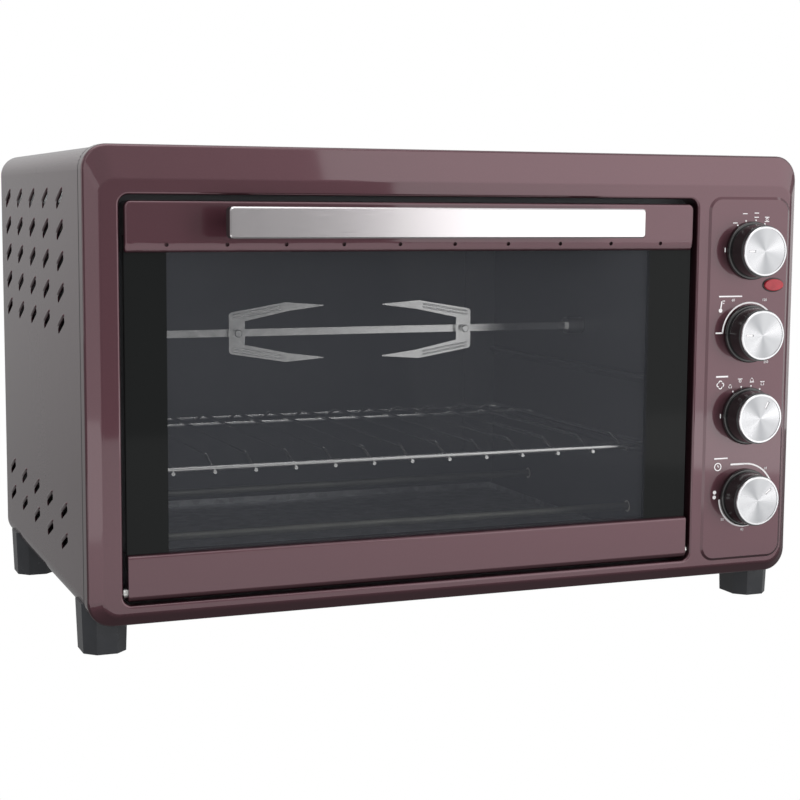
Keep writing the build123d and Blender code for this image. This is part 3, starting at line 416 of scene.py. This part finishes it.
def turned_cap(name):
    """Aluminium with circular grooves and a painted highlight: a fan of soft wedges round one knob's
    axis.
    """
    centre = middle(f"{name}_cap")
    material, place = begin(f"turned_{name}")
    x, _, z = parts(place)
    dx, dz = x - centre.x, z - centre.z
    radius = dx.math("SQRT", dx * dx + dz * dz)
    angle = dx.math("ARCTAN2", dz, dx)
    # Painted highlight: light and dark wedges by angle, painted into the base colour.
    painted_highlight_wedge = angle.math("SINE", 2 * angle + 0.9) * 0.55 + angle.math("SINE", 5 * angle) * 0.25
    fan = 0.5 + 0.5 * painted_highlight_wedge
    groove = radius.math("SINE", radius * (2 * math.pi / groove_pitch))
    face = radius < turned_radius
    shade(material, {
        "Base Color": blend(fan * face + (1 - face), (0.26, 0.265, 0.275, 1), (0.50, 0.50, 0.51, 1)),
        "Metallic": 1.0,
        "Roughness": 0.2 + 0.2 * (1 - fan) * face,
        "Normal": relief(groove * face, 0.004 * mm),
    })
    return material


caps = {name: turned_cap(name) for name in knobs}
print("cap materials:", sorted(caps))

# %% [markdown]
# ## Plastics, rubber, ceramic and heating rods
#
# Small pieces need their own finish too. The knobs are glossy black, nearly mirror-like; the
# handle's bar and the feet are satin black with a fine moulded grain; the bushes are glazed
# ceramic; the rods wear the greenish grey of a sheath that has been hot.

# %% Dark and dull materials
def moulded(name, first, second, roughness, grain_size, depth, coat=0.0):
    """A moulded material: two close colours, a roughness and a fine grain."""
    material, place = begin(name)
    cloud = noise(place, 12 * mm)
    grain = noise(place, grain_size)
    return shade(material, {
        "Base Color": blend(cloud, first, second),
        "Roughness": roughness + 0.08 * cloud,
        "Normal": relief(grain, depth),
        "Coat Weight": coat,
        "Coat Roughness": 0.05,
    })


finishes["knob_black"] = moulded(
    "glossy_black", (0.006, 0.006, 0.006, 1), (0.010, 0.009, 0.010, 1), 0.16, 2 * mm, 0.004 * mm, 0.3)
finishes["handle_black"] = moulded(
    "satin_black", (0.012, 0.011, 0.012, 1), (0.020, 0.018, 0.019, 1), 0.34, 0.7 * mm, 0.01 * mm)
finishes["foot_black"] = moulded(
    "foot_plastic", (0.030, 0.032, 0.036, 1), (0.045, 0.047, 0.052, 1), 0.22, 0.9 * mm, 0.008 * mm)
finishes["gland_rubber"] = moulded(
    "gland_rubber", (0.014, 0.014, 0.014, 1), (0.026, 0.026, 0.026, 1), 0.62, 0.8 * mm, 0.02 * mm)
finishes["control_plastic"] = moulded(
    "switch_plastic", (0.50, 0.47, 0.40, 1), (0.62, 0.58, 0.50, 1), 0.42, 1.2 * mm, 0.01 * mm)
finishes["ceramic"] = moulded(
    "bush_ceramic", (0.72, 0.68, 0.60, 1), (0.84, 0.81, 0.75, 1), 0.30, 0.8 * mm, 0.012 * mm, 0.4)

rod, place = begin("heater_sheath")
burn = noise(stretch(place, (0.25, 1, 1)), 9 * mm)
shade(rod, {
    "Base Color": blend(burn, (0.10, 0.105, 0.09, 1), (0.25, 0.25, 0.22, 1)),
    "Metallic": 0.7,
    "Roughness": 0.34 + 0.25 * burn,
})
finishes["heater_sheath"] = rod

lens, place = begin("lens_red")
ribs = place.node("ShaderNodeTexWave", None, {"Vector": place, "Scale": 1 / (2.4 * mm)}, "Fac")
glow = noise(place, 6 * mm)
shade(lens, {
    "Base Color": blend(glow, (0.22, 0.006, 0.013, 1), (0.42, 0.020, 0.036, 1)),
    "Roughness": 0.16,
    "Normal": relief(ribs, 0.05 * mm),
    "Emission Color": (0.55, 0.01, 0.02, 1),
    "Emission Strength": 0.04,
})
finishes["lens_red"] = lens

# %% [markdown]
# ## Dress the frame
#
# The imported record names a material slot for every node. One loop hands each node the finish
# of its slot; the four caps get their own, because each one's grooves circle its own axis.

# %% Hand out the finishes
slot_of = {part["node"]: part["material_slot"] for part in frame["record"]["subparts"]}
for name, piece in nodes.items():
    if name.endswith("_cap"):
        finish = caps[name.removesuffix("_cap")]
    else:
        finish = finishes[slot_of[name]]
    piece.data.materials.clear()
    piece.data.materials.append(finish)
print("slots in use:", sorted(set(slot_of.values())))

# %% [markdown]
# ## Surfaces from grids
#
# A surface here is an array of points: parts, rows, columns. Neighbouring points make a
# quad, and a row or column may close on itself. The faces are worked out as one array, so no
# loop touches a vertex. Poles, where a whole row meets in one point, are merged afterwards.

# %% Mesh helpers
def grid_faces(part_count, rows, columns, close_rows, close_columns):
    """Quads between neighbours of every part's grid, as one array of vertex numbers."""
    i = np.arange(rows if close_rows else rows - 1)[:, None]
    j = np.arange(columns if close_columns else columns - 1)[None, :]
    corners = [(i, j), (i, j + 1), (i + 1, j + 1), (i + 1, j)]
    one = np.stack([(a % rows) * columns + (b % columns) for a, b in corners], -1).reshape(-1, 4)
    return (one[None] + (np.arange(part_count) * rows * columns)[:, None, None]).reshape(-1, 4)


def surface(name, points, body, material, close_rows=False, close_columns=False):
    """A piece from points[part, row, column], riding on a body of the frame."""
    points = points[None] if points.ndim == 3 else points
    faces = grid_faces(*points.shape[:3], close_rows, close_columns)
    mesh = bpy.data.meshes.new(name)
    mesh.from_pydata(points.reshape(-1, 3).tolist(), [], faces.tolist())
    tidy = bmesh.new()
    tidy.from_mesh(mesh)
    bmesh.ops.remove_doubles(tidy, verts=tidy.verts, dist=1e-6)
    bmesh.ops.dissolve_degenerate(tidy, edges=tidy.edges, dist=1e-7)
    bmesh.ops.recalc_face_normals(tidy, faces=tidy.faces)
    tidy.to_mesh(mesh)
    tidy.free()
    mesh.shade_smooth()
    mesh.materials.append(material)
    piece = bpy.data.objects.new(name, mesh)
    bpy.context.scene.collection.objects.link(piece)
    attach(piece, body)
    print(name, "faces:", len(mesh.polygons))
    return piece


def tube(path, radius, sides=12):
    """Rings round a path: each ring lies in the plane across the path's direction."""
    along = np.gradient(path, axis=0)
    along /= np.linalg.norm(along, axis=1, keepdims=True)
    side_way = np.cross(along, np.array([0.31, 0.52, 0.79]))
    side_way /= np.linalg.norm(side_way, axis=1, keepdims=True)
    third = np.cross(along, side_way)
    t = np.linspace(0, 2 * np.pi, sides, endpoint=False)[None, :, None]
    ring = np.cos(t) * side_way[:, None] + np.sin(t) * third[:, None]
    return path[:, None] + radius * ring


# %% [markdown]
# ## Pressed hoods over the louvres
#
# Each air slit in the casing's side is pierced and pressed outwards along its upper edge, so
# that a low hood shades it. The slits are cut in the frame already. A hood is a long bulge
# sunk halfway into the sheet: an ellipse swept along a line, shrinking to nothing at both
# ends as the square root of 1 minus u to the fourth, where u runs from -1 to 1.

# %% Louvre hoods
shell_low, shell_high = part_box("outer_shell")
fascia_low, fascia_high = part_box("front_fascia")
pad_rise = 1.2 * mm  # control panel in front of the flat front
front_face = fascia_low.y + pad_rise
casing_under = fascia_low.z
louvre_length = 27 * mm
louvre_slope = math.radians(22.4)
louvre_top_row, louvre_bottom_row, louvre_row_pitch = 303, 45.5, 23.3  # millimetres
louvre_first_column, louvre_column_pitch = 93, 58.5
louvre_rows = np.array([louvre_top_row - louvre_row_pitch * i for i in range(5)]
                       + [louvre_bottom_row + louvre_row_pitch * i for i in range(2)]) * mm
louvre_columns = (louvre_first_column + louvre_column_pitch * np.arange(5)) * mm
hood_rise = 1.1 * mm
hood_half_width = 1.5 * mm
hood_above_slit = 4.3 * mm


def hoods(side_x, out):
    """Bulges at every louvre of one side; out is +1 to the right, -1 to the left."""
    u = np.linspace(-1, 1, 25)
    t = np.linspace(0, 2 * np.pi, 12, endpoint=False)
    swell = np.sqrt(1 - u ** 4)[:, None]
    along = (u * louvre_length / 2)[:, None] * np.ones_like(t)
    across = hood_half_width * swell * np.cos(t) + hood_above_slit
    rise = hood_rise * swell * np.sin(t)
    y = along * math.cos(louvre_slope) + across * math.sin(louvre_slope)
    z = -along * math.sin(louvre_slope) + across * math.cos(louvre_slope)
    column, row = np.meshgrid(louvre_columns, louvre_rows)
    centres = np.stack([np.full(row.size, side_x), front_face + column.ravel(),
                        casing_under + row.ravel()], -1)
    one = np.stack([out * rise, y, z], -1)
    return centres[:, None, None] + one[None]


surface("louvre_hoods_left", hoods(shell_low.x, -1), "casing", paint,
        close_columns=True)
surface("louvre_hoods_right", hoods(shell_high.x, 1), "casing", paint,
        close_columns=True)

# %% [markdown]
# ## Printed marks on the control panel
#
# The panel carries small white prints: tick dots, arcs, little pictograms and numbers. They
# could be a texture, but at this size a thin film of real geometry stays sharp. A stroke is a
# ribbon: its centre line moved half a width to each side along its normal. A dot is a
# ribbon bent into a circle as wide as its own radius. Every print here is generic.

# %% Ribbons, dots and numbers
white_ink, place = begin("white_ink")
shade(white_ink, {"Base Color": (0.86, 0.84, 0.85, 1), "Roughness": 0.4 + 0.1 * noise(place, mm)})
pad_face = fascia_low.y
ink_lift = 0.12 * mm
ink_thickness = 0.08 * mm
stroke_width = 0.9


def ribbon(line, width=stroke_width):
    """Two rows of points beside a line of (x, z) points in millimetres."""
    line = np.asarray(line, float)
    along = np.gradient(line, axis=0)
    normal = np.stack([-along[:, 1], along[:, 0]], -1)
    normal /= np.linalg.norm(normal, axis=1, keepdims=True)
    return np.stack([line - normal * width / 2, line + normal * width / 2])


def straight(x0, z0, x1, z1, width=stroke_width):
    """A straight stroke."""
    return ribbon(np.linspace((x0, z0), (x1, z1), 2), width)


def arc(x, z, radius, first, last, width=stroke_width, steps=40):
    """A stroke along a circle, from one angle to another, in degrees clockwise from the top."""
    t = np.radians(np.linspace(first, last, steps))
    return ribbon(np.stack([x + radius * np.sin(t), z + radius * np.cos(t)], -1), width)


def dot(x, z, radius=0.9):
    """A round dot: a ring whose inner edge is its own middle."""
    return arc(x, z, radius / 2, 0, 360, radius, 16)


def polar(radius, degrees):
    """(x, z) at a radius and a clockwise angle from the top."""
    return radius * math.sin(math.radians(degrees)), radius * math.cos(math.radians(degrees))


def number(text, x, z, size=3.0):
    """The outline of a plain number as points in millimetres and faces."""
    curve = bpy.data.curves.new("number", "FONT")
    curve.body, curve.size, curve.align_x, curve.align_y = text, size, "CENTER", "CENTER"
    curve.resolution_u = 3
    holder = bpy.data.objects.new("number", curve)
    bpy.context.scene.collection.objects.link(holder)
    shape = bpy.data.meshes.new_from_object(holder.evaluated_get(
        bpy.context.evaluated_depsgraph_get()))
    points = np.zeros(len(shape.vertices) * 3)
    shape.vertices.foreach_get("co", points)
    faces = [tuple(face.vertices) for face in shape.polygons]
    bpy.data.objects.remove(holder)
    bpy.data.curves.remove(curve)
    bpy.data.meshes.remove(shape)
    return points.reshape(-1, 3)[:, :2] + (x, z), faces


def print_piece(name, strokes, numbers, centre):
    """One film of ink from strokes and numbers placed about a knob's axis."""
    points, faces = [], []
    for rows in strokes:
        start = sum(len(p) for p in points)
        points.append(rows.reshape(-1, 2))
        faces += (grid_faces(1, 2, rows.shape[1], False, False) + start).tolist()
    for outline, outline_faces in numbers:
        start = sum(len(p) for p in points)
        points.append(outline)
        faces += [[start + v for v in face] for face in outline_faces]
    flat = np.concatenate(points) * mm
    film = np.stack([flat[:, 0] + centre.x, np.full(len(flat), pad_face - ink_lift),
                     flat[:, 1] + centre.z], -1)
    mesh = bpy.data.meshes.new(name)
    mesh.from_pydata(film.tolist(), [], faces)
    mesh.materials.append(white_ink)
    tidy = bmesh.new()
    tidy.from_mesh(mesh)
    bmesh.ops.remove_doubles(tidy, verts=tidy.verts, dist=1e-7)
    bmesh.ops.dissolve_degenerate(tidy, edges=tidy.edges, dist=1e-8)
    tidy.normal_update()
    bmesh.ops.reverse_faces(tidy, faces=[f for f in tidy.faces if f.normal.y > 0])
    tidy.to_mesh(mesh)
    tidy.free()
    piece = bpy.data.objects.new(name, mesh)
    bpy.context.scene.collection.objects.link(piece)
    layer = piece.modifiers.new("thickness", "SOLIDIFY")
    layer.thickness = ink_thickness
    layer.offset = 1
    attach(piece, "casing")
    print(name, "faces:", len(mesh.polygons))
    return piece


tick_radius = 24.6
bar_half, bar_width = 2.1, 0.7


def heating_sign(angle, upper, lower, ring=False, fan=False, radius=28.6):
    """A small pictogram at an angle round a knob: bars for heat, a ring or a fan between."""
    x, z = polar(radius, angle)
    strokes = [dot(*polar(tick_radius, angle), 0.75)]
    if upper:
        strokes.append(straight(x - bar_half, z + 1.9, x + bar_half, z + 1.9, bar_width))
    if lower:
        strokes.append(straight(x - bar_half, z - 1.5, x + bar_half, z - 1.5, bar_width))
    if ring:
        strokes.append(arc(x, z + 0.2, 1.0, 0, 360, 0.5, 20))
    if fan:
        strokes += [arc(x + 0.7 * math.sin(t), z + 0.2 + 0.7 * math.cos(t), 0.8,
                        math.degrees(t) - 80, math.degrees(t) + 80, 0.5, 10)
                    for t in np.radians([0, 120, 240])]
    return strokes


# %% Marks round each knob
off_dash = straight(-24.9, 2.4, -24.9, -1.2, 0.8)
sign_angles = (-34, -14, 8, 29)
selector_marks = [off_dash]
for angle, (upper, lower, ring) in zip(sign_angles, ((0, 1, 0), (1, 0, 0), (1, 1, 0), (1, 1, 1))):
    selector_marks += heating_sign(angle, upper, lower, ring)

thermometer = [straight(-26.6, 26.6, -27.4, 20.6, 1.1), dot(-27.6, 19.2, 1.7),
               straight(-26.0, 26.9, -23.6, 26.9, 0.6), straight(-25.8, 25.0, -24.2, 25.0, 0.5)]
thermostat_marks = [straight(-29.3, 30.5, -7.6, 30.5, 1.1), arc(0, 0, 25.2, -88, 128, 1.3, 80),
                    straight(-31.6, 1.0, -25.0, 1.0, 1.2), *thermometer]

fan_sign = [arc(-25.8 + 1.7 * math.sin(t), 26.1 + 1.7 * math.cos(t), 1.5,
                math.degrees(t) - 100, math.degrees(t) + 60, 0.8, 14)
            for t in np.radians([0, 90, 180, 270])]
program_marks = [straight(-30.0, 32.8, -18.7, 32.8, 1.3), off_dash, *fan_sign]
for angle, (upper, lower, ring, fan) in zip(
        sign_angles, ((0, 0, 0, 1), (1, 0, 1, 0), (0, 1, 0, 1), (1, 0, 0, 1))):
    program_marks += heating_sign(angle, upper, lower, ring, fan, 29.4)

clock_sign = [arc(-26.0, 26.2, 3.0, 0, 360, 0.8, 32), straight(-26.0, 26.2, -26.0, 28.0, 0.6),
              straight(-26.0, 26.2, -24.7, 26.2, 0.6)]
timer_marks = [straight(-29.6, 33.0, -16.9, 33.0, 1.1), *clock_sign,
               straight(-14.0, 27.6, -1.0, 27.6, 1.5), arc(0, 0, 27.6, -3, 64, 1.3, 40),
               arc(0, 0, 24.0, 96, 268, 1.3, 70), dot(-28.4, 5.2, 1.6), dot(-28.6, 1.2, 1.6)]

labels = {
    "selector": [],
    "thermostat": [("60", -15.9, 27.4), ("120", 13.8, 27.2), ("190", 29.6, 0.0), ("250", 17.0, -23.5)],
    "program": [],
    "timer": [("10", 19.6, 22.8), ("20", 29.8, -0.6), ("40", -1.4, -27.0), ("50", -20.4, -17.6)],
}
marks = {
    "selector": selector_marks,
    "thermostat": thermostat_marks,
    "program": program_marks,
    "timer": timer_marks,
}
for name in knobs:
    print_piece(f"{name}_marks", marks[name], [number(*label) for label in labels[name]],
                middle(f"{name}_cap"))

# %% [markdown]
# ## Pointers in the caps
#
# Each cap has a short notch that shows where the knob points, filled with white. The notch
# is cut in the frame; the filling is a flat bulge with blunt ends, laid into it along the
# pointer's angle, the same angle at which that knob's notch is cut.

# %% Pointer fillings
pointer_turn = {"selector": -90, "thermostat": -90, "program": 29, "timer": 53}
pointer_radius = 12.2 * mm
pointer_half = np.array([3.1, 0.75, 0.35]) * mm  # along the radius, across it, towards the front
pointer_seat = 0.95 * mm  # behind the cap's rim


def pointer(name):
    """A bulge flattened against the cap's face, along one radius of the knob."""
    cap_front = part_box(f"{name}_cap")[0].y
    centre = middle(f"{name}_cap")
    turn = math.radians(pointer_turn[name])
    out = np.array([math.sin(turn), 0, math.cos(turn)])
    across = np.array([math.cos(turn), 0, -math.sin(turn)])
    u = np.linspace(-1, 1, 17)[:, None, None]
    t = np.linspace(0, 2 * np.pi, 14, endpoint=False)[None, :, None]
    swell = np.sqrt(1 - u ** 6)
    start = np.array([centre.x, cap_front + pointer_seat, centre.z]) + pointer_radius * out
    return (start + pointer_half[0] * u * out + pointer_half[1] * swell * np.cos(t) * across
            + pointer_half[2] * swell * np.sin(t) * np.array([0, 1.0, 0]))


for name in knobs:
    surface(f"{name}_pointer", pointer(name), f"{name}_dial", white_ink, close_columns=True)

# %% [markdown]
# ## Ribs on the forks
#
# The stamped forks are stiffened by ribs along each tine. A rib is a thin tube sunk halfway
# into the plate, along a straight line from the web to the knee. A groove in a texture would
# be cheaper, but a raised rib catches the light along its top as pressed steel does.

# %% Fork ribs
rib_radius = 0.75 * mm
rib_from, rib_to = 3.5 * mm, 44 * mm
rib_start_up, rib_end_up = 16.9 * mm, 23.6 * mm
tine_width = 7 * mm
rib_shares = (0.3, 0.68)  # of the tine's width, from its outer edge


def fork_ribs(name, way):
    """Two ribs on each of a fork's tines; way is +1 where the tines point right."""
    low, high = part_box(f"fork_{name}")
    web_x = low.x if way > 0 else high.x
    middle_z = (low.z + high.z) / 2
    ribs = []
    for up in (-1, 1):
        for share in rib_shares:
            inset = share * tine_width
            ends = [(web_x + way * rib_from, low.y, middle_z + up * (rib_start_up - inset)),
                    (web_x + way * rib_to, low.y, middle_z + up * (rib_end_up - inset))]
            ribs.append(tube(np.linspace(*ends, 24), rib_radius, 10))
    surface(f"fork_ribs_{name}", np.stack(ribs), f"{name}_fork", chrome,
            close_columns=True)


fork_ribs("left", 1)
fork_ribs("right", -1)

# %% [markdown]
# ## A dark bezel round the indicator
#
# The red lens sits in a thin dark ring. A torus would do for a round one; this one is oval,
# so a small circle is swept along an ellipse.

# %% Lens bezel
lens_low, lens_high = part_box("indicator_lens")
lens_middle = middle("indicator_lens")
bezel_wire = 0.75 * mm
bezel_gap = 0.2 * mm  # lens edge to the middle of the bezel's wire
t = np.linspace(0, 2 * np.pi, 72, endpoint=False)
half_width = (lens_high.x - lens_low.x) / 2 + bezel_gap
half_height = (lens_high.z - lens_low.z) / 2 + bezel_gap
oval = np.stack([lens_middle.x + half_width * np.cos(t), np.full_like(t, pad_face),
                 lens_middle.z + half_height * np.sin(t)], -1)
outward = np.stack([np.cos(t), 0 * t, np.sin(t)], -1)
s = np.linspace(0, 2 * np.pi, 10, endpoint=False)[None, :, None]
bezel = oval[:, None] + bezel_wire * (
    np.cos(s) * outward[:, None] + np.sin(s) * np.array([0, 1.0, 0]))
surface("indicator_bezel", bezel, "casing", finishes["handle_black"],
        close_rows=True, close_columns=True)

# %% [markdown]
# ## Door springs as real coils
#
# Behind the fascia a torsion spring round each hinge pin holds the door. The frame has a
# plain sleeve there. A coil is a tube swept along a helix, with one end run out as a leg.

# %% Spring coils
spring_low, spring_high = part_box("door_springs")
pin_middle = middle("door_pins")
coil_radius = 4.0 * mm
coil_wire = 0.75 * mm
coil_turns = 4.5
sleeve = 8 * mm
leg_length = 10 * mm


def coil(x_first, x_last):
    """A helix round the pin from one X to the other, ending in a leg that points up."""
    a = np.linspace(-np.pi / 2, 2 * np.pi * coil_turns, 150)
    turn = np.stack([np.linspace(x_first, x_last, a.size), pin_middle.y + coil_radius * np.cos(a),
                     pin_middle.z + coil_radius * np.sin(a)], -1)
    leg = turn[-1] + np.linspace(0.1, 1, 10)[:, None] * np.array([0, 0, leg_length])
    return tube(np.concatenate([turn, leg]), coil_wire)


coils = np.stack([coil(spring_low.x + coil_wire, spring_low.x + sleeve - coil_wire),
                  coil(spring_high.x - coil_wire, spring_high.x - sleeve + coil_wire)])
springs = surface("door_spring_coils", coils, "casing", plated, close_columns=True)
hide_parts("door_springs")

# %% [markdown]
# ## The seam between front and wrap
#
# Where the front's folded edge meets the wrap, the narrow gap's shadow is painted as a thin
# dark line that runs all the way round. It is a closed ribbon along a rounded rectangle, whose
# corners are quarter circles.

# %% Seam line
corner_r = 18 * mm
seam_from, seam_to = 16.2 * mm, 17.9 * mm
seam_out = 0.05 * mm


def rounded(low, high, radius, steps=10):
    """Points (x, z) of a rounded rectangle, corner by corner."""
    corners = [(high.x, high.z, 0), (low.x, high.z, 90), (low.x, low.z, 180), (high.x, low.z, 270)]
    points = []
    for corner_x, corner_z, first in corners:
        t = np.radians(np.linspace(first, first + 90, steps))
        inward_x = math.copysign(radius, corner_x)
        inward_z = radius if corner_z == high.z else -radius
        points.append(np.stack([corner_x - inward_x + (radius + seam_out) * np.cos(t),
                                corner_z - inward_z + (radius + seam_out) * np.sin(t)], -1))
    return np.concatenate(points)


loop = rounded(fascia_low, fascia_high, corner_r)
# A dark ribbon: the painted shadow of the gap between front and wrap.
seam_shade = np.stack([np.stack([loop[:, 0], np.full(len(loop), front_face + y), loop[:, 1]], -1)
                 for y in (seam_from, seam_to)])
surface("seam_shade_line", seam_shade, "casing", finishes["gland_rubber"], close_columns=True)
